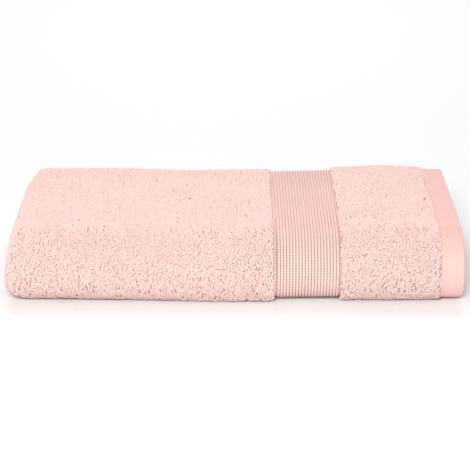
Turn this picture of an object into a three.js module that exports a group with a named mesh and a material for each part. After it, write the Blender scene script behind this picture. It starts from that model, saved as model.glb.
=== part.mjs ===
// A terry bath towel, folded in quarters along its length and then in quarters across its width.
//
// The towel is one woven cloth with zones: a looped terry body, two ribbed dobby borders, two terry
// end panels and two flat end hems, with a narrow turned hem along each long side and a line of
// sewing thread on every hem. Each zone is its own closed solid, and every solid goes through all
// the folds that the cloth makes at that place.
//
// Two folded lines carry the shape. The length line runs from end A to end B of the towel, as seen
// from the front: it gives x, and the height n of the cloth in its stack of four layers. The width
// line runs from the outer side edge to the inner one, as seen from the right: it carries that whole
// stack twice forward and twice back, and gives y and z. The cloth's face is on the left of both.
//
// Units are millimetres. +X is the hemmed end, -Y the front roll and +Z up. The origin is at the
// middle of the underside.

import * as THREE from "three";

// The cloth, laid out flat
const TOWEL_LENGTH = 1400;
const TOWEL_WIDTH = 700;
const END_HEM = 18;
const END_PANEL = 75;
const BORDER = 52;
const SIDE_HEM = 8;

// The cloth's thickness
const TERRY_THICKNESS = 3.3;
const BORDER_THICKNESS = 1.8;
const HEM_THICKNESS = 2.2;
const THREAD_THICKNESS = 0.5;
const THREAD_WIDTH = 1;
const SEAM_INSET = 3;
const GAP = 0.3;

// The folds
const LAYER_PITCH = TERRY_THICKNESS + GAP;
const STACK = 4 * LAYER_PITCH;
const ROLL_TOP_RADIUS = 27;
const ROLL_BOTTOM_RADIUS = 3 * STACK - ROLL_TOP_RADIUS;
const TIGHT_TURN_STEPS = 6;
const WIDE_TURN_STEPS = 8;
const STACK_TURN_STEPS = 10;
const ROLL_QUARTER_STEPS = 6;

const TERRY = { color: 0xf9d7cf, roughness: 0.95 };
const DOBBY = { color: 0xf4c9c2, roughness: 0.8 };
const FLAT_WEAVE = { color: 0xf6cbc4, roughness: 0.7 };
const THREAD = { color: 0xf8d2ca, roughness: 0.6 };

// A line of straight runs and round turns in a plane, measured along its length. A turn is positive
// to the left and negative to the right.
class FoldedLine {
  constructor(start, heading, legs) {
    this.legs = [];
    let place = start.clone();
    let length = 0;
    for (const leg of legs) {
      const placed = { ...leg, from: length, place, heading };
      placed.length = leg.turn ? Math.abs(leg.turn) * leg.radius : leg.run;
      length += placed.length;
      this.legs.push(placed);
      const end = this.along(placed, placed.length, 0);
      place = end.point;
      heading = end.heading;
    }
    this.length = length;
  }

  // The point at a distance along one leg, moved to the line's left by side
  along(leg, distance, side) {
    const heading = leg.heading + (leg.turn ? (leg.turn * distance) / leg.length : 0);
    const left = new THREE.Vector2(-Math.sin(heading), Math.cos(heading));
    const point = leg.place.clone();
    if (leg.turn) {
      const reach = Math.sign(leg.turn) * leg.radius;
      const firstLeft = new THREE.Vector2(-Math.sin(leg.heading), Math.cos(leg.heading));
      point.addScaledVector(firstLeft, reach).addScaledVector(left, -reach);
    } else {
      point.x += Math.cos(heading) * distance;
      point.y += Math.sin(heading) * distance;
    }
    return { point: point.addScaledVector(left, side), left, heading };
  }

  at(distance, side = 0) {
    const leg = this.legs.findLast((one) => one.from <= distance) ?? this.legs[0];
    return this.along(leg, distance - leg.from, side);
  }

  // Every distance between two ends where a section is needed: once for a run, in steps for a turn
  stations(from, to) {
    const found = [from];
    for (const leg of this.legs) {
      const steps = leg.steps ?? 1;
      for (let step = 0; step < steps; step += 1) {
        const distance = leg.from + (leg.length * step) / steps;
        if (distance > from && distance < to) found.push(distance);
      }
    }
    return [...found, to];
  }
}

// Along the length: end A under end B at the right, one fold at the right and two at the left
const tightRadius = LAYER_PITCH / 2;
const wideRadius = 3 * tightRadius;
const lengthTurns = Math.PI * (2 * tightRadius + wideRadius);
const rightReach = tightRadius + TERRY_THICKNESS / 2;
const innerRun = (TOWEL_LENGTH - lengthTurns - 2 * rightReach) / 4;
const outerRun = innerRun + rightReach;
const foldedLength = outerRun + wideRadius + TERRY_THICKNESS / 2;
const rightEnd = foldedLength / 2;

const lengthLine = new FoldedLine(new THREE.Vector2(rightEnd, LAYER_PITCH / 2), Math.PI, [
  { run: outerRun },
  { turn: Math.PI, radius: tightRadius, steps: TIGHT_TURN_STEPS },
  { run: innerRun },
  { turn: -Math.PI, radius: tightRadius, steps: TIGHT_TURN_STEPS },
  { run: innerRun },
  { turn: -Math.PI, radius: wideRadius, steps: WIDE_TURN_STEPS },
  { run: outerRun },
]);

// Across the width: from the lowest back edge round the front roll, over the top to the fold at the
// back, forward inside the roll and back to the inner edge
const halfStack = STACK / 2;
const backReach = STACK - GAP / 2;
const rollShift = ROLL_TOP_RADIUS - ROLL_BOTTOM_RADIUS;
const widthTurns = 2 * Math.PI * halfStack + (Math.PI / 2) * (ROLL_TOP_RADIUS + ROLL_BOTTOM_RADIUS);
const edgeRun = (TOWEL_WIDTH - widthTurns + 2 * backReach - rollShift) / 4;
const foldedWidth = edgeRun + ROLL_TOP_RADIUS + halfStack - GAP / 2;
const back = foldedWidth / 2;

const widthLine = new FoldedLine(new THREE.Vector2(back, halfStack - GAP / 2), Math.PI, [
  { run: edgeRun + rollShift },
  { turn: -Math.PI / 2, radius: ROLL_BOTTOM_RADIUS, steps: ROLL_QUARTER_STEPS },
  { turn: -Math.PI / 2, radius: ROLL_TOP_RADIUS, steps: ROLL_QUARTER_STEPS },
  { run: edgeRun - backReach },
  { turn: -Math.PI, radius: halfStack, steps: STACK_TURN_STEPS },
  { run: edgeRun - backReach },
  { turn: Math.PI, radius: halfStack, steps: STACK_TURN_STEPS },
  { run: edgeRun },
]);

// The closed solid of one rectangle of the cloth, with its back and its face at two offsets from
// the middle of the cloth
function foldedSolid(lengthFrom, lengthTo, widthFrom, widthTo, backSide, faceSide) {
  const along = lengthLine.stations(lengthFrom, lengthTo);
  const outline = [
    ...along.map((distance) => lengthLine.at(distance, backSide).point),
    ...along.toReversed().map((distance) => lengthLine.at(distance, faceSide).point),
  ];
  const sections = widthLine.stations(widthFrom, widthTo).map((distance) => widthLine.at(distance));
  const positions = [];
  for (const { point, left } of sections) {
    for (const { x, y: n } of outline) {
      positions.push(x, point.x + n * left.x, point.y + n * left.y);
    }
  }
  const count = outline.length;
  const indices = [];
  for (let section = 0; section < sections.length - 1; section += 1) {
    for (let corner = 0; corner < count; corner += 1) {
      const here = section * count + corner;
      const next = section * count + ((corner + 1) % count);
      indices.push(here, next, next + count, here, next + count, here + count);
    }
  }
  const last = (sections.length - 1) * count;
  for (const [a, b, c] of THREE.ShapeUtils.triangulateShape(outline, [])) {
    indices.push(a, c, b, last + a, last + b, last + c);
  }
  if (!THREE.ShapeUtils.isClockWise(outline)) indices.reverse();
  const geometry = new THREE.BufferGeometry();
  geometry.setAttribute("position", new THREE.Float32BufferAttribute(positions, 3));
  geometry.setIndex(indices);
  geometry.computeVertexNormals();
  return geometry;
}

const towel = new THREE.Group();

function addPiece(name, finish, geometry) {
  const material = new THREE.MeshStandardMaterial({ metalness: 0, ...finish });
  const mesh = new THREE.Mesh(geometry, material);
  mesh.name = name;
  towel.add(mesh);
}

// Each kind of cloth has its back level with the back of the terry, so a thinner one is sunk
const backSide = -TERRY_THICKNESS / 2;
const seamGap = GAP / 2;

// A zone that lies across the towel, between two distances from one of its ends
function addZone(name, finish, thickness, end, near, far, inset) {
  const [from, to] = end === "a" ? [near, far] : [TOWEL_LENGTH - far, TOWEL_LENGTH - near];
  const fromEdge = from === 0 ? 0 : seamGap;
  const toEdge = to === TOWEL_LENGTH ? 0 : seamGap;
  const solid = foldedSolid(
    from + fromEdge,
    to - toEdge,
    inset,
    TOWEL_WIDTH - inset,
    backSide,
    backSide + thickness,
  );
  addPiece(`${name}_${end}`, finish, solid);
}

const borderStart = END_HEM + END_PANEL;
const bodyStart = borderStart + BORDER;
const sideInset = SIDE_HEM + seamGap;
const threadBack = backSide + HEM_THICKNESS + GAP;
const threadFace = threadBack + THREAD_THICKNESS;

addPiece(
  "terry_body",
  TERRY,
  foldedSolid(
    bodyStart + seamGap,
    TOWEL_LENGTH - bodyStart - seamGap,
    sideInset,
    TOWEL_WIDTH - sideInset,
    backSide,
    backSide + TERRY_THICKNESS,
  ),
);

for (const end of ["a", "b"]) {
  addZone("dobby_border", DOBBY, BORDER_THICKNESS, end, borderStart, bodyStart, sideInset);
  addZone("terry_end_panel", TERRY, TERRY_THICKNESS, end, END_HEM, borderStart, sideInset);
  addZone("end_hem", FLAT_WEAVE, HEM_THICKNESS, end, 0, END_HEM, 0);

  const seamAt = END_HEM - SEAM_INSET;
  const seamFrom = end === "a" ? seamAt : TOWEL_LENGTH - seamAt - THREAD_WIDTH;
  addPiece(
    `end_hem_stitching_${end}`,
    THREAD,
    foldedSolid(seamFrom, seamFrom + THREAD_WIDTH, 0, TOWEL_WIDTH, threadBack, threadFace),
  );
}

// The hems and seams of the two long sides, which end up at the back, below the fold
for (const [name, edge, seam] of [
  ["outer", 0, SIDE_HEM - SEAM_INSET],
  ["inner", TOWEL_WIDTH - SIDE_HEM, TOWEL_WIDTH - SIDE_HEM + SEAM_INSET - THREAD_WIDTH],
]) {
  const from = END_HEM + seamGap;
  const to = TOWEL_LENGTH - END_HEM - seamGap;
  addPiece(
    `side_hem_${name}`,
    FLAT_WEAVE,
    foldedSolid(from, to, edge, edge + SIDE_HEM, backSide, backSide + HEM_THICKNESS),
  );
  addPiece(
    `side_hem_stitching_${name}`,
    THREAD,
    foldedSolid(from, to, seam, seam + THREAD_WIDTH, threadBack, threadFace),
  );
}

export default towel;
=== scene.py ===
"""A folded terry bath towel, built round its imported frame.

The cloth is woven in zones: a terry body with uncut loops, ribbed dobby borders, terry end panels and
flat hems. Two folded lines carry every zone through all the folds, as they do in the CAD model, so a
point of the cloth is given by how far along it is, how far across, and how high above the middle of
the cloth. Loops, ribs and stitches are geometry on that folded cloth.

Everything is in metres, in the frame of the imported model.
"""

import math

import bpy
import numpy as np
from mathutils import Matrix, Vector
from mathutils.kdtree import KDTree


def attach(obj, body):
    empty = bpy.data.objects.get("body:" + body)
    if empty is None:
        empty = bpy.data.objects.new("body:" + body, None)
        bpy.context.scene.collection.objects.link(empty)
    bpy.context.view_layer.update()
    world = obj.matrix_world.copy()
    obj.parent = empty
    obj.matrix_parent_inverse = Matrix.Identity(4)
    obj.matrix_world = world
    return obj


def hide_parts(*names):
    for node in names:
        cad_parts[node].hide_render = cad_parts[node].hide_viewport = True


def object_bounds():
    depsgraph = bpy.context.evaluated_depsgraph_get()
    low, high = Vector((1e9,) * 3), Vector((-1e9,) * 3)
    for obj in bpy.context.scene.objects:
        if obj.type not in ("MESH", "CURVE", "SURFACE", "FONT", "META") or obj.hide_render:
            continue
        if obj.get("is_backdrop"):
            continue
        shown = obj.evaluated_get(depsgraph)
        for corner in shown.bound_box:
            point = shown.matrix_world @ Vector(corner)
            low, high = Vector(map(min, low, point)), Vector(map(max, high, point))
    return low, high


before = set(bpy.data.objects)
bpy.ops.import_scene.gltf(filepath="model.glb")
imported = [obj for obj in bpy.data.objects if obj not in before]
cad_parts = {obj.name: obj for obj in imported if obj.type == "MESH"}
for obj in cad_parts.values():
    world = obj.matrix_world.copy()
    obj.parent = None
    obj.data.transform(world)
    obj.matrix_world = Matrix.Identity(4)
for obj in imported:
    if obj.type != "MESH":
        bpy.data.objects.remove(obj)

CAD_LOW, CAD_HIGH = (Vector(corner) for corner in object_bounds())
MM = 0.001

# The cloth, laid out flat, and its thickness, as in the CAD model
TOWEL_LENGTH = 1.4
TOWEL_WIDTH = 0.7
END_HEM = 18 * MM
END_PANEL = 75 * MM
BORDER = 52 * MM
SIDE_HEM = 8 * MM
TERRY = 3.3 * MM
GAP = 0.3 * MM
SEAM_INSET = 3 * MM
INSIDE_HEMS = (SIDE_HEM + GAP / 2, TOWEL_WIDTH - SIDE_HEM - GAP / 2)

# The folds, as in the CAD model
PITCH = TERRY + GAP
STACK = 4 * PITCH
ROLL_TOP_RADIUS = 27 * MM
ROLL_BOTTOM_RADIUS = 3 * STACK - ROLL_TOP_RADIUS

# The lowest that any piece may lie, above the floor
FLOOR_GAP = 0.1 * MM

# Heights above the middle of the cloth, whose back is at REAR
REAR = -1.6 * MM
PILE_TOP = 1.45 * MM
GROUND = -0.3 * MM
HEM_FACE = 0.55 * MM
BORDER_FACE = 0.2 * MM

# How closely a turn of the cloth is divided
TERRY_STEP = math.radians(18)
SIDE_HEM_STEP = math.radians(12)
FINE_STEP = math.radians(6)

# Terry loops, sparser under the towel, made in pieces of at most LOOPS_PER_PIECE loops. Pieces of
# pile are small enough for the export to keep every face.
LOOP_HEIGHT = 2.2 * MM
LOOP_WIDTH = 1.4 * MM
LOOP_SPACING = 1.3 * MM
LOOP_SPACING_UNDER = 2.7 * MM
LOOP_SCATTER = 0.38
LOOPS_PER_PIECE = 5500
LOOP_RINGS = 5
LOOP_SIDES = 4
LOOP_ROOT = 0.3 * MM
YARN_RADIUS = 0.66 * MM

# How the pile lies. It leans towards the towel's lower edge by NAP. The lean swings by up to SWIRL
# radians from patch to patch and by about SWIRL_SPREAD from loop to loop, and the loops stand across
# the towel to within about YAW_SPREAD. They cling together in small tufts within larger ones.
NAP = 1.1 * MM
SWIRL = 0.8
SWIRL_SIZE = 12 * MM
SWIRL_SPREAD = 0.35
YAW_SPREAD = 0.5
LOOP_VARIES = (0.8, 1.2)
TUFT_LOOPS = (3, 9)
TUFT_PULL = 0.2
BUSH_SIZE = 3.5 * MM

# The pile is looser towards the floor, over this much of the roll. Each pair is (on the top, at the
# floor): how strongly loops cling together, their uneven height, how far their tops drift, how much
# taller they are in bushy patches and everywhere, how wide they open, and the share of loops that a
# pit forms round.
LOOSENS_OVER = 55 * MM
CLUMPING = (0.1, 1.0)
UNEVEN = (0.06, 0.1)
DRIFT = (0.12 * MM, 0.24 * MM)
BUSHY = (0.08, 0.18)
TALLER = (0, 0.15)
WIDER = (1, 1.25)
PIT_SHARE = (0.003, 0.052)

# PIT is half of a pit's (width, height). Loops within PIT_REACH times that are pushed aside by up to
# PIT_PARTING, and the end panel has PANEL_ROUGHNESS times as many pits.
PIT = (0.85 * MM, 1.7 * MM)
PIT_REACH = 2.2
PIT_PARTING = 0.25 * MM
PANEL_ROUGHNESS = 1.35

# Ribs of the border. A rib has a line at each of RIB_LINES, parts of the way from its groove to the
# next, and the plain margins beside the ribs are RIB_MARGIN_HEIGHT of their height.
RIB_COUNT = 20
RIB_LINES = (0, 0.07, 0.2, 0.35, 0.5, 0.65, 0.8, 0.93)
RIB_MARGINS = (3 * MM, 1.6 * MM)
RIB_DEPTH = 1.4 * MM
RIB_MARGIN_HEIGHT = 0.55
RIB_FLATTER_ON_TOP = 0.3
PICK = 1.8 * MM

# Hems and stitches. HEM_EDGE is the radius of a hem's round edge. The cloth dips by SEAM_DIP along a
# seam, over as much on either side of it.
HEM_EDGE = (HEM_FACE - REAR) / 2
HEM_SPACING = 0.7 * MM
HEM_PUFF = 0.3 * MM
SEAM_DIP = 0.35 * MM
END_DIP = END_HEM - SEAM_INSET
END_SEAM = END_DIP + 0.5 * MM
SIDE_SEAM = SIDE_HEM - SEAM_INSET + 0.5 * MM
STITCH = 3 * MM
STITCH_SHARE = 0.92
STITCH_ABOVE = 0.05 * MM
STITCH_DIVE = 0.45 * MM
STITCH_RINGS = 6
STITCH_SIDES = 6
THREAD_RADIUS = 0.2 * MM


class FoldedLine:
    """Straight runs and round turns in a plane, measured along the line.

    Each leg is (length, turn), with turn in radians to the left and 0 for a straight run.
    """

    def __init__(self, start, heading, legs):
        self.length = np.array([length for length, _ in legs])
        self.bend = np.array([turn / length for length, turn in legs])
        turns = np.array([turn for _, turn in legs])
        self.start = np.cumsum(self.length) - self.length
        self.heading = heading + np.cumsum(turns) - turns
        self.place = np.zeros((len(legs), 2))
        self.place[0] = start
        for leg in range(1, len(legs)):
            end = self.on_leg(np.array(leg - 1), self.length[leg - 1])
            self.place[leg] = end[0]

    def on_leg(self, leg, distance):
        bend = self.bend[leg]
        first = self.heading[leg]
        heading = first + bend * distance
        left = np.stack([-np.sin(heading), np.cos(heading)], -1)
        first_left = np.stack([-np.sin(first), np.cos(first)], -1)
        ahead = np.stack([np.cos(first), np.sin(first)], -1)
        straight = ahead * np.asarray(distance)[..., None]
        arc = (first_left - left) / np.where(bend == 0, 1, bend)[..., None]
        return self.place[leg] + np.where((bend == 0)[..., None], straight, arc), left

    def at(self, distance):
        """The points at these distances, and the unit vectors to the line's left there."""
        leg = np.searchsorted(self.start, distance, side="right") - 1
        leg = np.clip(leg, 0, len(self.start) - 1)
        return self.on_leg(leg, distance - self.start[leg])

    def steps(self, begin, end, spacing, side=0.0, angle=math.pi):
        """Distances from begin to end, one every spacing on a copy of the line moved left by side.

        A turn has a step at least every angle.
        """
        found = [begin]
        for start, length, bend in zip(self.start, self.length, self.bend):
            low, high = max(begin, start), min(end, start + length)
            if high - low > 0.01 * MM:
                along = (high - low) * abs(1 - bend * side) / spacing
                count = math.ceil(max(along, (high - low) * abs(bend) / angle))
                found.extend(np.linspace(low, high, count + 1)[1:])
        return np.array(found)

    def rows(self, begin, end, spacing, side):
        """Distances of evenly spaced rows, between begin and end, on that copy of the line."""
        fine = self.steps(begin, end, 0.2 * MM, side)
        middle = (fine[1:] + fine[:-1]) / 2
        leg = np.clip(np.searchsorted(self.start, middle) - 1, 0, len(self.start) - 1)
        run = np.diff(fine) * np.abs(1 - self.bend[leg] * side)
        travelled = np.concatenate([[0], np.cumsum(run)])
        count = round(travelled[-1] / spacing)
        return np.interp((np.arange(count) + 0.5) * travelled[-1] / count, travelled, fine)


# Along the towel: from end A, under end B at the right, through one fold at the right and two at the
# left. It gives x, and n, the height in the stack of four layers.
TIGHT = PITCH / 2
WIDE = 3 * TIGHT
RIGHT_REACH = TIGHT + TERRY / 2
INNER_RUN = (TOWEL_LENGTH - math.pi * (2 * TIGHT + WIDE) - 2 * RIGHT_REACH) / 4
OUTER_RUN = INNER_RUN + RIGHT_REACH
RIGHT_END = (OUTER_RUN + WIDE + TERRY / 2) / 2
LENGTHWISE = FoldedLine(
    (RIGHT_END, PITCH / 2),
    math.pi,
    [
        (OUTER_RUN, 0),
        (math.pi * TIGHT, math.pi),
        (INNER_RUN, 0),
        (math.pi * TIGHT, -math.pi),
        (INNER_RUN, 0),
        (math.pi * WIDE, -math.pi),
        (OUTER_RUN, 0),
    ],
)

# Across the towel: from the lowest back edge round the front roll, over the top to the fold at the
# back, forward inside the roll and back to the inner edge. It gives y and z.
TURN = STACK / 2
BACK_REACH = STACK - GAP / 2
ROLL_SHIFT = ROLL_TOP_RADIUS - ROLL_BOTTOM_RADIUS
ROLL_ARC = math.pi / 2 * (ROLL_TOP_RADIUS + ROLL_BOTTOM_RADIUS)
EDGE_RUN = (TOWEL_WIDTH - 2 * math.pi * TURN - ROLL_ARC + 2 * BACK_REACH - ROLL_SHIFT) / 4
BACK = (EDGE_RUN + ROLL_TOP_RADIUS + TURN - GAP / 2) / 2
ACROSS = FoldedLine(
    (BACK, TURN - GAP / 2),
    math.pi,
    [
        (EDGE_RUN + ROLL_SHIFT, 0),
        (math.pi / 2 * ROLL_BOTTOM_RADIUS, -math.pi / 2),
        (math.pi / 2 * ROLL_TOP_RADIUS, -math.pi / 2),
        (EDGE_RUN - BACK_REACH, 0),
        (math.pi * TURN, -math.pi),
        (EDGE_RUN - BACK_REACH, 0),
        (math.pi * TURN, math.pi),
        (EDGE_RUN, 0),
    ],
)
ROLL_STARTS = ACROSS.start[1]
TOP_STARTS = ACROSS.start[3]
BACK_STARTS = ACROSS.start[4]
BACK_ENDS = ACROSS.start[5]
LEFT_FOLD = LENGTHWISE.start[5]
TOP_LAYER = LENGTHWISE.start[6]
RIGHT_FOLD = LENGTHWISE.start[3]
RIGHT_FOLD_ENDS = LENGTHWISE.start[4]
OUTSIDE = 1.5 * PITCH + TERRY / 2
ROLL_MIDDLE = TURN + ROLL_BOTTOM_RADIUS

BORDER_B = (TOWEL_LENGTH - END_HEM - END_PANEL - BORDER, TOWEL_LENGTH - END_HEM - END_PANEL)
PANEL_B = (TOWEL_LENGTH - END_HEM - END_PANEL, TOWEL_LENGTH - END_HEM)
BODY = (END_HEM + END_PANEL + BORDER, BORDER_B[0])


class Ripple:
    """Smooth noise from -1 to 1 on a plane, the same on every run."""

    SIZE = 128

    def __init__(self, seed):
        self.table = np.random.default_rng(seed).uniform(-1, 1, (self.SIZE, self.SIZE))

    def __call__(self, a, b, scale):
        a, b = np.broadcast_arrays(np.asarray(a, float) / scale, np.asarray(b, float) / scale)
        i, j = np.floor(a).astype(int), np.floor(b).astype(int)
        s, t = a - i, b - j
        s, t = s * s * (3 - 2 * s), t * t * (3 - 2 * t)
        n = self.SIZE
        low = self.table[i % n, j % n] * (1 - s) + self.table[(i + 1) % n, j % n] * s
        high = self.table[i % n, (j + 1) % n] * (1 - s) + self.table[(i + 1) % n, (j + 1) % n] * s
        return low * (1 - t) + high * t


swell = Ripple(3)
pucker = Ripple(21)
nap = Ripple(31)


def smooth(value, low, high):
    """From 0 at low to 1 at high, levelling off at both."""
    t = np.clip((value - low) / (high - low), 0, 1)
    return t * t * (3 - 2 * t)


def bell(value, middle, width):
    """1 at the middle, falling away on both sides over about width."""
    return np.exp(-(((value - middle) / width) ** 2))


def between(limits, part):
    """The value a part of the way from the first limit to the second."""
    return limits[0] + (limits[1] - limits[0]) * part


def settle(points):
    """The small unevenness of a real folded towel, the same for every piece of it."""
    x, y, z = points[..., 0], points[..., 1], points[..., 2]
    rise = np.clip(z / CAD_HIGH.z, 0, 1)

    # The top swells and dips. It is highest over the end panel, and lower behind the middle and where
    # the roll begins.
    crown = 0.7 * MM * swell(x + 1, y + 1, 70 * MM) + 0.5 * MM * swell(x + 2, y + 1, 28 * MM)
    crown += 1.8 * MM * bell(x, 118 * MM, 35 * MM) * smooth(y, -50 * MM, 60 * MM)
    crown -= 1.5 * MM * bell(x, -20 * MM, 45 * MM) * smooth(y, 0, 80 * MM)
    crown -= 2 * MM * bell(y, -60 * MM, 30 * MM)
    new_z = z + rise * crown

    # The folded left end is drawn in, least where the roll turns from its lower to its upper arc, more
    # at the top and the back, and most at the floor
    above = np.clip((z - ROLL_MIDDLE) / (CAD_HIGH.z - ROLL_MIDDLE), 0, 1)
    below = np.clip((ROLL_MIDDLE - z) / ROLL_MIDDLE, 0, 1)
    drawn = 3.5 * MM + 4 * MM * above + 9 * MM * below**3
    drawn += 4.5 * MM * rise * smooth(y, 40 * MM, 90 * MM)
    new_x = x + smooth(-x, 60 * MM, 180 * MM) * drawn

    # The front roll is a little wavy. Where it rests it spreads, most in the middle, and is drawn back
    # at the left.
    front = smooth(-y, 30 * MM, 90 * MM)
    spread = 5 * MM * bell(x, 0, 60 * MM) - 2 * MM * smooth(-x, 80 * MM, 150 * MM)
    spread += 1 * MM * bell(x, 120 * MM, 40 * MM)
    wave = 0.8 * MM * swell(x + 3, z + 2, 60 * MM)
    low = np.clip(1 - z / (20 * MM), 0, 1)
    new_y = y - front * (spread * low**2 + wave)
    return np.stack([new_x, new_y, np.maximum(new_z, FLOOR_GAP)], -1)


def folded(along, across, height):
    """Points of the folded cloth, height being measured from its middle towards its face."""
    along, across, height = np.broadcast_arrays(along, across, height)
    layer, up = LENGTHWISE.at(along)
    x = layer[..., 0] + height * up[..., 0]
    n = layer[..., 1] + height * up[..., 1]
    place, out = ACROSS.at(across)
    return np.stack([x, place[..., 0] + n * out[..., 0], place[..., 1] + n * out[..., 1]], -1)


def add_mesh(name, points, quads, material, fields):
    """A smooth mesh of quads, with one vector of each field at each point."""
    mesh = bpy.data.meshes.new(name)
    mesh.vertices.add(len(points))
    mesh.vertices.foreach_set("co", points.astype(np.float32).ravel())
    mesh.loops.add(quads.size)
    mesh.loops.foreach_set("vertex_index", quads.astype(np.int32).ravel())
    mesh.polygons.add(len(quads))
    mesh.polygons.foreach_set("loop_start", np.arange(0, quads.size, 4, dtype=np.int32))
    mesh.polygons.foreach_set("use_smooth", np.ones(len(quads), bool))
    for field, values in fields.items():
        layer = mesh.attributes.new(field, "FLOAT_VECTOR", "POINT")
        layer.data.foreach_set("vector", values.astype(np.float32).ravel())
    mesh.update(calc_edges=True)
    mesh.materials.append(material)
    piece = bpy.data.objects.new(name, mesh)
    bpy.context.scene.collection.objects.link(piece)
    return piece


def grid_quads(rows, columns):
    index = np.arange(rows * columns).reshape(rows, columns)
    corners = [index[:-1, :-1], index[1:, :-1], index[1:, 1:], index[:-1, 1:]]
    return np.stack([corner.ravel() for corner in corners], -1), index


def folded_sheet(name, along, across, face, rear, material):
    """A closed piece of cloth between two heights, each given on the grid of along and across."""
    u, v = np.meshgrid(along, across, indexing="ij")
    heights = [np.broadcast_to(face, u.shape), np.broadcast_to(rear, u.shape)]
    points = [settle(folded(u, v, height)).reshape(-1, 3) for height in heights]
    quads, index = grid_quads(len(along), len(across))
    rim = np.concatenate([index[:-1, 0], index[-1, :-1], index[:0:-1, -1], index[0, :0:-1]])
    following = np.roll(rim, -1)
    count = index.size
    wall = np.stack([rim, rim + count, following + count, following], -1)
    every = np.concatenate([quads, quads[:, ::-1] + count, wall])
    weave = [np.stack([u, v, height], -1).reshape(-1, 3) for height in heights]
    fields = {"weave": np.concatenate(weave)}
    return add_mesh(name, np.concatenate(points), every, material, fields)


# Materials


def linear(red, green, blue):
    """A colour given as it looks on a screen, from 0 to 255, in the shader's own terms."""
    levels = np.array([red, green, blue]) / 255
    low, high = levels / 12.92, ((levels + 0.055) / 1.055) ** 2.4
    return (*np.where(levels <= 0.04045, low, high), 1.0)


class Cloth:
    """A Principled material, and the few kinds of node that the cloths here are made of."""

    def __init__(self, name, roughness, sheen, sheen_tint):
        self.material = bpy.data.materials.new(name)
        self.material.use_nodes = True
        self.tree = self.material.node_tree
        self.shader = self.tree.nodes["Principled BSDF"]
        self.shader.inputs["Roughness"].default_value = roughness
        self.shader.inputs["Specular IOR Level"].default_value = 0.25
        self.shader.inputs["Sheen Weight"].default_value = sheen
        self.shader.inputs["Sheen Roughness"].default_value = 0.5
        self.shader.inputs["Sheen Tint"].default_value = sheen_tint

    def link(self, source, target):
        self.tree.links.new(source, target)

    def math(self, operation, a, b=0.0):
        node = self.tree.nodes.new("ShaderNodeMath")
        node.operation = operation
        for socket, value in zip(node.inputs, (a, b)):
            if isinstance(value, (int, float)):
                socket.default_value = value
            else:
                self.link(value, socket)
        return node.outputs[0]

    def field(self, name):
        """The three parts of a vector stored at the mesh's points, and the vector itself."""
        node = self.tree.nodes.new("ShaderNodeAttribute")
        node.attribute_name = name
        parts = self.tree.nodes.new("ShaderNodeSeparateXYZ")
        self.link(node.outputs["Vector"], parts.inputs[0])
        return *parts.outputs, node.outputs["Vector"]

    def place(self):
        return self.tree.nodes.new("ShaderNodeTexCoord").outputs["Object"]

    def noise(self, vector, size, detail=2.0, stretch=(1, 1, 1)):
        """Noise from 0 to 1 whose grains are about size metres."""
        mapping = self.tree.nodes.new("ShaderNodeMapping")
        mapping.inputs["Scale"].default_value = [part / size for part in stretch]
        node = self.tree.nodes.new("ShaderNodeTexNoise")
        node.inputs["Scale"].default_value = 1.0
        node.inputs["Detail"].default_value = detail
        self.link(vector, mapping.inputs["Vector"])
        self.link(mapping.outputs[0], node.inputs["Vector"])
        return node.outputs["Fac"]

    def mix(self, factor, a, b):
        node = self.tree.nodes.new("ShaderNodeMix")
        node.data_type = "RGBA"
        for socket, value in zip((node.inputs[0], node.inputs[6], node.inputs[7]), (factor, a, b)):
            if isinstance(value, tuple):
                socket.default_value = value
            else:
                self.link(value, socket)
        return node.outputs[2]

    def ramp(self, value, low, high):
        node = self.tree.nodes.new("ShaderNodeMapRange")
        node.interpolation_type = "SMOOTHSTEP"
        node.inputs["From Min"].default_value = low
        node.inputs["From Max"].default_value = high
        self.link(value, node.inputs["Value"])
        return node.outputs["Result"]

    def wave(self, distance, period):
        """From -1 to 1, once every period."""
        return self.math("SINE", self.math("MULTIPLY", distance, 2 * math.pi / period))

    def bump(self, height, depth):
        node = self.tree.nodes.new("ShaderNodeBump")
        node.inputs["Distance"].default_value = depth
        self.link(height, node.inputs["Height"])
        self.link(node.outputs[0], self.shader.inputs["Normal"])

    def colour(self, source):
        self.link(source, self.shader.inputs["Base Color"])
        return self.material


BLUSH = linear(250, 207, 200)
BLUSH_DEEP = linear(247, 200, 193)
BLUSH_ROOT = linear(248, 207, 200)
GROUND_DEEP = linear(238, 202, 195)
GROUND_PALE = linear(247, 214, 207)
SATIN = linear(236, 195, 187)
SATIN_DEEP = linear(226, 181, 172)
RIB = linear(234, 208, 200)
# The next colour is painted shade for the grooves of the border's ribs, and the darker threads of its
# picks.
RIB_GROOVE_SHADE_AND_PICKS = linear(174, 132, 122)
COTTON_SHEEN = (1.0, 0.94, 0.94, 1.0)
SATIN_SHEEN = (1.0, 0.58, 0.56, 1.0)


def terry_yarn():
    """Soft loops that let light through, each a little lighter or darker than the next."""
    cloth = Cloth("terry_yarn", 0.95, 0.12, COTTON_SHEEN)
    cloth.shader.inputs["Subsurface Weight"].default_value = 0.8
    cloth.shader.inputs["Subsurface Radius"].default_value = (1.0, 1.0, 1.0)
    cloth.shader.inputs["Subsurface Scale"].default_value = 0.7 * MM
    tint, rise, _, _ = cloth.field("yarn")
    patch = cloth.noise(cloth.place(), 30 * MM)
    body = cloth.mix(cloth.math("MULTIPLY", tint, patch), BLUSH, BLUSH_DEEP)
    return cloth.colour(cloth.mix(cloth.ramp(rise, 0.0, 0.45), BLUSH_ROOT, body))


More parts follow.
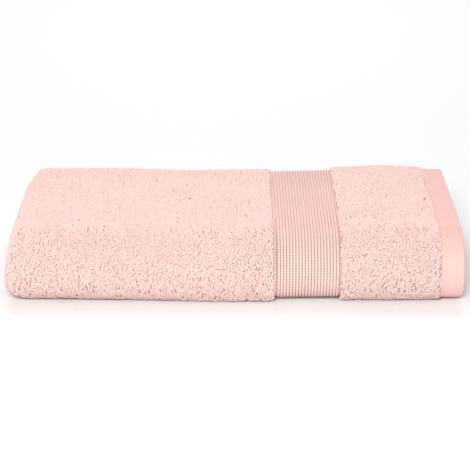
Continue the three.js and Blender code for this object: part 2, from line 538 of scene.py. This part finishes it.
def terry_ground():
    """The woven cloth that the loops stand on, seen only between them and along the edges."""
    cloth = Cloth("terry_ground", 0.95, 0.2, COTTON_SHEEN)
    along, across, _, weave = cloth.field("weave")
    picks = cloth.math("MULTIPLY", cloth.wave(along, 1.1 * MM), cloth.wave(across, 0.9 * MM))
    cloth.bump(picks, 0.08 * MM)
    grain = cloth.noise(weave, 1.2 * MM, 3.0)
    return cloth.colour(cloth.mix(grain, GROUND_DEEP, GROUND_PALE))


def dobby():
    """Ribbed border: fine picks cross every rib, and the grooves are painted darker as shade."""
    cloth = Cloth("dobby", 0.62, 1.0, SATIN_SHEEN)
    _, across, height, weave = cloth.field("weave")
    fibres = cloth.noise(weave, 0.35 * MM, 3.0, stretch=(1, 0.25, 1))
    picks = cloth.wave(across, PICK)
    cloth.bump(cloth.math("ADD", picks, fibres), 0.15 * MM)
    # Painted shade: the rib colour darkens towards the bottom of each groove, and the picks add a
    # woven pattern of their own.
    groove_shade = cloth.ramp(height, BORDER_FACE - RIB_DEPTH, BORDER_FACE - 0.1 * RIB_DEPTH)
    groove_shade_and_picks = cloth.math("ADD", groove_shade, cloth.math("MULTIPLY", picks, 0.22))
    uneven = cloth.math("MULTIPLY", groove_shade_and_picks, cloth.math("ADD", fibres, 0.5))
    return cloth.colour(cloth.mix(uneven, RIB_GROOVE_SHADE_AND_PICKS, RIB))


def flat_weave():
    """Plain hem cloth: a fine grid of yarns with a soft satin light."""
    cloth = Cloth("flat_weave", 0.55, 1.0, SATIN_SHEEN)
    along, across, _, weave = cloth.field("weave")
    grid = cloth.math("MULTIPLY", cloth.wave(along, 0.8 * MM), cloth.wave(across, 0.8 * MM))
    slubs = cloth.noise(weave, 0.9 * MM, 3.0, stretch=(1, 0.3, 1))
    cloth.bump(cloth.math("ADD", grid, slubs), 0.07 * MM)
    return cloth.colour(cloth.mix(slubs, SATIN_DEEP, SATIN))


def sewing_thread():
    """Twisted thread, a little glossier than the cloth."""
    cloth = Cloth("sewing_thread", 0.45, 0.2, COTTON_SHEEN)
    twist = cloth.noise(cloth.place(), 0.4 * MM)
    return cloth.colour(cloth.mix(twist, SATIN, BLUSH))


TERRY_YARN = terry_yarn()
TERRY_GROUND = terry_ground()
DOBBY = dobby()
FLAT_WEAVE = flat_weave()
SEWING_THREAD = sewing_thread()


# Making the pieces


def shown(along, across):
    """How far a place on the cloth is on the outside of the folded towel, from 0 to 1."""
    outside = smooth(BACK_ENDS + 12 * MM - across, 0, 6 * MM)
    layer = smooth(along, LEFT_FOLD - 6 * MM, LEFT_FOLD)
    left = layer * smooth(TOP_LAYER + 6 * MM - along, 0, 6 * MM)
    right = smooth(along, RIGHT_FOLD - 8 * MM, RIGHT_FOLD - 4 * MM)
    right *= smooth(RIGHT_FOLD_ENDS + 8 * MM - along, 0, 4 * MM)
    return np.maximum(np.maximum(layer * outside, left), right)


def add_terry(name, zone_along, spacing):
    """The ground cloth of a terry zone, thinner where loops of its own stand on it."""
    ends = (zone_along[0] + GAP / 2, zone_along[1] - GAP / 2)
    along = LENGTHWISE.steps(*ends, spacing, TERRY / 2, TERRY_STEP)
    across = ACROSS.steps(*INSIDE_HEMS, spacing, OUTSIDE, TERRY_STEP)
    u, v = np.meshgrid(along, across, indexing="ij")
    face = PILE_TOP + (GROUND - PILE_TOP) * shown(u, v)
    return folded_sheet(name, along, across, face, REAR, TERRY_GROUND)


def frames(along, across, height):
    """Where the cloth is, and its unit directions along, across and away from its face."""
    step = 0.02 * MM
    place = folded(along, across, height)
    ahead = folded(along + step, across, height) - folded(along - step, across, height)
    aside = folded(along, across + step, height) - folded(along, across - step, height)
    ahead /= np.linalg.norm(ahead, axis=-1, keepdims=True)
    aside /= np.linalg.norm(aside, axis=-1, keepdims=True)
    return place, ahead, aside, np.cross(ahead, aside)


def tubes(centres, radius, sides):
    """Closed tubes with an even number of sides, as points and quads.

    Each is given by the centres of its rings, (tube, ring, 3), and all share each ring's radius.
    """
    ahead = np.gradient(centres, axis=1)
    ahead /= np.linalg.norm(ahead, axis=-1, keepdims=True)
    chord = centres[:, -1] - centres[:, 0]
    bulge = centres[:, centres.shape[1] // 2] - centres[:, 0]
    pole = np.cross(chord, bulge)[:, None]
    first = pole - ahead * (pole * ahead).sum(-1, keepdims=True)
    first /= np.linalg.norm(first, axis=-1, keepdims=True)
    second = np.cross(ahead, first)
    turn = np.arange(sides) * 2 * math.pi / sides
    spoke = first[:, :, None] * np.cos(turn)[:, None] + second[:, :, None] * np.sin(turn)[:, None]
    points = centres[:, :, None] + spoke * radius[:, None, None]
    count, rings = centres.shape[:2]
    index = np.arange(count * rings * sides).reshape(count, rings, sides)
    beside = np.roll(index, -1, axis=2)
    walls = np.stack([index[:, :-1], beside[:, :-1], beside[:, 1:], index[:, 1:]], -1)
    quads = [walls.reshape(-1, 4)]
    for corner in range(1, sides - 1, 2):
        cap = [0, corner, corner + 1, corner + 2]
        quads += [index[:, 0, cap[::-1]], index[:, -1, cap]]
    return points.reshape(-1, 3), np.concatenate(quads)


def from_middles(roots, share, rng):
    """How far each loop's root is from the nearest of the roots drawn as middles."""
    middles = roots[rng.uniform(0, 1, len(roots)) < share]
    tree = KDTree(len(middles))
    for number, middle in enumerate(middles):
        tree.insert(middle, number)
    tree.balance()
    return roots - middles[np.array([tree.find(root)[1] for root in roots])]


def towards_tufts(roots, rng):
    """How far each loop's top leans to the middle of its tuft, a few loops that cling together.

    Small tufts cling together in larger ones.
    """
    pull = np.zeros_like(roots)
    for loops in TUFT_LOOPS:
        pull -= TUFT_PULL * from_middles(roots, 1 / loops, rng)
    return pull


def parted(roots, ahead, aside, share, rng):
    """Where the pile parts over pits: which loops are left, and how far each is pushed along."""
    offset = from_middles(roots, share, rng)
    sideways = (offset * ahead).sum(-1) / PIT[0]
    distance = np.hypot(sideways, (offset * aside).sum(-1) / PIT[1])
    push = PIT_PARTING * smooth(PIT_REACH - distance, 0, PIT_REACH - 1)
    return distance > 1, np.sign(sideways) * push


def loop_shape():
    """The shape of a loop, ring by ring from one foot over its top to the other.

    It gives how high each ring is as a part of the loop's height, how far out and how far curled aside
    as parts of half its width, and the part of the lean that the ring follows.
    """
    theta = np.linspace(0, math.pi, LOOP_RINGS)
    rise = np.sin(theta) ** 0.8
    reach = -np.cos(theta) * (0.62 + 0.45 * np.sin(theta))
    curl = 0.25 * np.sin(2 * theta)
    shift = np.sin(theta) ** 1.5
    return rise, reach, curl, shift


def add_loops(name, along, across, rough, rng):
    """Uncut terry loops rooted in the cloth at these places.

    They lie down towards the towel's lower edge, cling together in tufts and part over pits, and all
    of it is looser towards the floor. A rougher pile has more pits.
    """
    place, ahead, aside, away = frames(along, across, GROUND - LOOP_ROOT)
    loose = 1 - smooth(across, ROLL_STARTS, ROLL_STARTS + LOOSENS_OVER)
    share = rough * between(PIT_SHARE, loose)
    left, parting = parted(place, ahead, aside, share, rng)
    across, loose, parting = across[left], loose[left], parting[left]
    place, ahead, aside, away = (part[left, None] for part in (place, ahead, aside, away))
    count = len(across)
    pull = towards_tufts(place[:, 0], rng)
    clump = between(CLUMPING, loose)
    swirl = SWIRL * nap(place[:, 0, 0], across, SWIRL_SIZE) + rng.normal(0, SWIRL_SPREAD, count)
    lie = NAP * rng.uniform(*LOOP_VARIES, count)
    lean_ahead = (pull * ahead[:, 0]).sum(-1) * clump + lie * np.sin(swirl) + parting
    lean_aside = (pull * aside[:, 0]).sum(-1) * clump - lie * np.cos(swirl)
    yaw = rng.normal(math.pi / 2, YAW_SPREAD, count)[:, None]
    bushy = nap(place[:, 0, 0] + 1, across * 1.3, BUSH_SIZE) * between(BUSHY, loose)
    uneven = 1 + rng.uniform(-1, 1, count) * between(UNEVEN, loose)
    tall = LOOP_HEIGHT * uneven * (1 + bushy + between(TALLER, loose))
    wide = LOOP_WIDTH / 2 * rng.uniform(*LOOP_VARIES, count) * between(WIDER, loose)
    drift = rng.normal(0, 1, (2, count)) * between(DRIFT, loose)

    rise, reach, curl, shift = loop_shape()
    out, turned = wide[:, None] * reach, wide[:, None] * curl
    to_ahead = out * np.cos(yaw) - turned * np.sin(yaw) + (lean_ahead + drift[0])[:, None] * shift
    to_aside = out * np.sin(yaw) + turned * np.cos(yaw) + (lean_aside + drift[1])[:, None] * shift
    up = tall[:, None] * rise
    centres = place + ahead * to_ahead[..., None] + aside * to_aside[..., None] + away * up[..., None]
    points, quads = tubes(centres, YARN_RADIUS * (0.8 + 0.2 * rise), LOOP_SIDES)
    tint = np.repeat(rng.uniform(0, 1, count), LOOP_SIDES * LOOP_RINGS)
    height = np.tile(np.repeat(rise, LOOP_SIDES), count)
    yarn = np.stack([tint, height, np.zeros_like(tint)], -1)
    return add_mesh(name, settle(points), quads, TERRY_YARN, {"yarn": yarn})


def scatter(zone_along, zone_across, spacing, rng):
    """Places for loops: an even grid, with each loop a little off its own spot."""
    u = LENGTHWISE.rows(*zone_along, spacing, TERRY / 2)
    v = ACROSS.rows(*zone_across, spacing, OUTSIDE)
    u, v = np.meshgrid(u, v, indexing="ij")
    pace_u = np.gradient(u, axis=0)
    pace_v = np.gradient(v, axis=1)
    u = u + pace_u * rng.uniform(-LOOP_SCATTER, LOOP_SCATTER, u.shape)
    v = v + pace_v * rng.uniform(-LOOP_SCATTER, LOOP_SCATTER, v.shape)
    return u.T.ravel(), v.T.ravel()


def add_pile(name, zones, seed, rough=1):
    """Loops over several zones, each (along, across, spacing), in as many pieces as they need."""
    rng = np.random.default_rng(seed)
    places = [scatter(*zone, rng) for zone in zones]
    along, across = (np.concatenate(part) for part in zip(*places))
    pieces = []
    parts = math.ceil(len(along) / LOOPS_PER_PIECE)
    for number, chosen in enumerate(np.array_split(np.arange(len(along)), parts), 1):
        piece = add_loops(f"{name}_{number}", along[chosen], across[chosen], rough, rng)
        pieces.append(piece)
    return pieces


def rib_lines(begin, end, margins):
    """Lines across a border, closer together at each groove, and its height above the lowest."""
    pace = (end - begin - sum(margins)) / RIB_COUNT
    part = np.array(RIB_LINES)
    ribs = (begin + margins[0] + pace * (np.arange(RIB_COUNT)[:, None] + part)).ravel()
    height = np.tile(np.sin(math.pi * part) ** 0.7, RIB_COUNT)
    first = np.linspace(begin, begin + margins[0], 4)[:-1]
    last = np.linspace(end - margins[1], end, 3)
    plain = RIB_MARGIN_HEIGHT
    lines = np.concatenate([first, ribs, last])
    heights = np.concatenate([[plain, plain, plain * 0.8], height, [0, plain, plain]])
    return lines, heights * RIB_DEPTH


def add_border(name, zone_along, margins, spacing):
    """A dobby border: round ribs that run across the towel, pressed flatter on its top."""
    along, height = rib_lines(zone_along[0] + GAP / 2, zone_along[1] - GAP / 2, margins)
    across = ACROSS.steps(*INSIDE_HEMS, spacing, OUTSIDE, FINE_STEP)
    u, v = np.meshgrid(along, across, indexing="ij")
    slack = 0.06 * MM * pucker(u, v, 4 * MM) + 0.08 * MM * pucker(u + 1, v, 20 * MM)
    flatter = RIB_FLATTER_ON_TOP * smooth(v, TOP_STARTS - 10 * MM, TOP_STARTS + 50 * MM)
    face = BORDER_FACE + (height[:, None] - RIB_DEPTH) * (1 - flatter) + slack
    return folded_sheet(name, along, across, face, REAR, DOBBY)


def hem_lines(width, seam):
    """Distances from a hem's outer edge: round at the edge, then even, with the seam's dip."""
    turn = np.linspace(0, math.pi / 2, 6)
    edge = HEM_EDGE * (1 - np.cos(turn))
    rest = np.linspace(HEM_EDGE, width, math.ceil(width / HEM_SPACING))[1:]
    dip = seam + np.array([-0.5, -0.25, 0, 0.25, 0.5]) * MM
    return np.unique(np.concatenate([edge, rest, dip]))


def hem_heights(distance, v, seam):
    """The face and back of a hem, at distances from its outer edge and v along it."""
    middle = (HEM_FACE + REAR) / 2
    inward = np.clip(1 - distance / HEM_EDGE, 0, 1)
    half = HEM_EDGE * np.sqrt(np.clip(1 - inward**2, 0.01, 1))
    puff = HEM_PUFF * np.sin(math.pi * np.clip(distance / seam, 0, 1)) ** 0.7
    stitch = 0.75 + 0.25 * np.cos(2 * math.pi * v / STITCH)
    dip = SEAM_DIP * stitch * bell(distance, seam, SEAM_DIP)
    crease = 0.12 * MM * pucker(distance, v, 3 * MM) + 0.2 * MM * pucker(distance + 1, v, 12 * MM)
    return middle + half + (puff + crease) * (1 - inward) - dip, middle - half


def add_end_hem(name, outer, inward):
    """A double-turned hem at an end of the towel, inward being 1 or -1 along it."""
    distance = hem_lines(END_HEM - GAP / 2, END_DIP)[::inward]
    across = ACROSS.steps(0, TOWEL_WIDTH, 1.5 * MM, OUTSIDE, FINE_STEP)
    d, v = np.meshgrid(distance, across, indexing="ij")
    face, rear = hem_heights(d, v, END_DIP)
    return folded_sheet(name, outer + inward * distance, across, face, rear, FLAT_WEAVE)


def add_side_hem(name, outer, inward):
    """A narrow turned hem along a side of the towel."""
    distance = hem_lines(SIDE_HEM - GAP / 2, SIDE_SEAM)[::inward]
    ends = (END_HEM + GAP / 2, TOWEL_LENGTH - END_HEM - GAP / 2)
    along = LENGTHWISE.steps(*ends, 2 * MM, TERRY / 2, SIDE_HEM_STEP)
    u, d = np.meshgrid(along, distance, indexing="ij")
    face, rear = hem_heights(d, u, SIDE_SEAM)
    return folded_sheet(name, along, outer + inward * distance, face, rear, FLAT_WEAVE)


def add_stitches(name, begin, end, seam, lengthwise):
    """A row of lockstitches: each dives into the cloth at both its ends."""
    spots = np.arange(begin + STITCH / 2, end - STITCH / 2, STITCH)
    t = np.linspace(-1, 1, STITCH_RINGS)
    run = spots[:, None] + t * STITCH_SHARE * STITCH / 2
    level = np.full_like(run, seam)
    arch = HEM_FACE + STITCH_ABOVE - STITCH_DIVE * np.abs(t) ** 3
    place = (run, level) if lengthwise else (level, run)
    centres = settle(folded(*place, arch))
    points, quads = tubes(centres, np.full(STITCH_RINGS, THREAD_RADIUS), STITCH_SIDES)
    return add_mesh(name, points, quads, SEWING_THREAD, {})


def finish_piece(piece, node=None):
    """Every piece rides on the towel's one body. Those that stand for a CAD node replace it."""
    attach(piece, "root")
    if node:
        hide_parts(node)


# Terry zones and their loops
TOP_ZONE = (ROLL_STARTS, BACK_ENDS + 6 * MM)
UNDER_ZONE = (INSIDE_HEMS[0], ROLL_STARTS)
BODY_TOP = (TOP_LAYER, BODY[1])

body = add_terry("terry_body_cloth", BODY, 5 * MM)
panel_a = add_terry("terry_end_panel_a_cloth", (END_HEM, END_HEM + END_PANEL), 5 * MM)
panel_b = add_terry("terry_end_panel_b_cloth", PANEL_B, 4 * MM)
body_loops = add_pile(
    "body_loops",
    [
        (BODY_TOP, TOP_ZONE, LOOP_SPACING),
        (BODY_TOP, UNDER_ZONE, LOOP_SPACING_UNDER),
    ],
    seed=1,
)
left_span = (LEFT_FOLD, TOP_LAYER)
left_loops = add_pile("left_fold_loops", [(left_span, INSIDE_HEMS, LOOP_SPACING)], seed=2)
right_span = (RIGHT_FOLD - 4 * MM, RIGHT_FOLD_ENDS + 4 * MM)
right_loops = add_pile("right_fold_loops", [(right_span, INSIDE_HEMS, LOOP_SPACING)], seed=3)
panel_loops = add_pile(
    "end_panel_loops",
    [
        (PANEL_B, TOP_ZONE, LOOP_SPACING),
        (PANEL_B, UNDER_ZONE, LOOP_SPACING_UNDER),
    ],
    seed=4,
    rough=PANEL_ROUGHNESS,
)
for cloth, node in (
    (body, "terry_body"),
    (panel_a, "terry_end_panel_a"),
    (panel_b, "terry_end_panel_b"),
):
    finish_piece(cloth, node)
for loops in body_loops + left_loops + right_loops + panel_loops:
    finish_piece(loops)

# Borders, hems and stitching
border_a = add_border("dobby_border_a_ribs", (END_HEM + END_PANEL, BODY[0]), RIB_MARGINS[::-1], 8 * MM)
border_b = add_border("dobby_border_b_ribs", BORDER_B, RIB_MARGINS, 4 * MM)
finish_piece(border_a, "dobby_border_a")
finish_piece(border_b, "dobby_border_b")
end_a = add_end_hem("end_hem_a_cloth", 0, 1)
end_b = add_end_hem("end_hem_b_cloth", TOWEL_LENGTH, -1)
finish_piece(end_a, "end_hem_a")
finish_piece(end_b, "end_hem_b")
side_outer = add_side_hem("side_hem_outer_cloth", 0, 1)
side_inner = add_side_hem("side_hem_inner_cloth", TOWEL_WIDTH, -1)
finish_piece(side_outer, "side_hem_outer")
finish_piece(side_inner, "side_hem_inner")

stitching = {
    "end_hem_stitching_a": (0, TOWEL_WIDTH, END_SEAM, False),
    "end_hem_stitching_b": (0, TOWEL_WIDTH, TOWEL_LENGTH - END_SEAM, False),
    "side_hem_stitching_outer": (END_HEM, TOWEL_LENGTH - END_HEM, SIDE_SEAM, True),
    "side_hem_stitching_inner": (END_HEM, TOWEL_LENGTH - END_HEM, TOWEL_WIDTH - SIDE_SEAM, True),
}
threads = {}
for node, (begin, end, seam, lengthwise) in stitching.items():
    threads[node] = add_stitches(node + "_thread", begin, end, seam, lengthwise)
    finish_piece(threads[node], node)

# The side hems and their stitching, in one list. The side hems are narrow.
side_pieces = [side_outer, side_inner]
side_pieces += [threads["side_hem_stitching_outer"], threads["side_hem_stitching_inner"]]


# The floor, the light and the camera

FLOOR_SIZE = 8
FLOOR_COLOUR = (0.95, 0.95, 0.95, 1)
SKY_COLOUR = (1.0, 0.955, 0.955, 1)
SKY_STRENGTH = 0.48

# Each area light: place, what it points at, size, power and colour. The key light is near the camera,
# and the one at the back keeps the floor behind the towel white.
AREA_LIGHTS = {
    "back": ((0, 1.1, 1.2), (0, 0.9, 0), 1.4, 11, (1, 1, 1)),
    "key": ((-0.12, -1.25, 0.74), (0, 0, 0.03), 0.35, 16.8, (0.905, 1.0, 1.0)),
}

CAMERA_PLACE = (0.002, -1.3125, 0.484)
CAMERA_LENS = 132.15
LOOKS_DOWN = math.radians(19.25)


def add_floor():
    bpy.ops.mesh.primitive_plane_add(size=FLOOR_SIZE)
    floor = bpy.context.object
    floor.name = "floor"
    material = bpy.data.materials.new("floor")
    material.use_nodes = True
    shader = material.node_tree.nodes["Principled BSDF"]
    shader.inputs["Base Color"].default_value = FLOOR_COLOUR
    shader.inputs["Roughness"].default_value = 0.9
    floor.data.materials.append(material)
    floor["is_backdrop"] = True


def add_area_light(name, place, target, size, power, colour):
    light = bpy.data.lights.new(name, "AREA")
    light.size = size
    light.energy = power
    light.color = colour
    lamp = bpy.data.objects.new(name, light)
    lamp.location = place
    lamp.rotation_euler = (Vector(target) - Vector(place)).to_track_quat("-Z", "Y").to_euler()
    bpy.context.scene.collection.objects.link(lamp)


def add_sky():
    world = bpy.data.worlds.new("studio")
    world.use_nodes = True
    background = world.node_tree.nodes["Background"]
    background.inputs["Color"].default_value = SKY_COLOUR
    background.inputs["Strength"].default_value = SKY_STRENGTH
    bpy.context.scene.world = world


def add_camera():
    camera = bpy.data.objects.new("camera", bpy.data.cameras.new("camera"))
    camera.data.lens = CAMERA_LENS
    camera.data.sensor_width = 36
    camera.data.clip_start = 0.01
    camera.location = CAMERA_PLACE
    camera.rotation_euler = (math.pi / 2 - LOOKS_DOWN, 0, 0)
    bpy.context.scene.collection.objects.link(camera)
    bpy.context.scene.camera = camera


add_floor()
add_sky()
for name, settings in AREA_LIGHTS.items():
    add_area_light(name, *settings)
add_camera()
bpy.context.scene.view_settings.view_transform = "Standard"
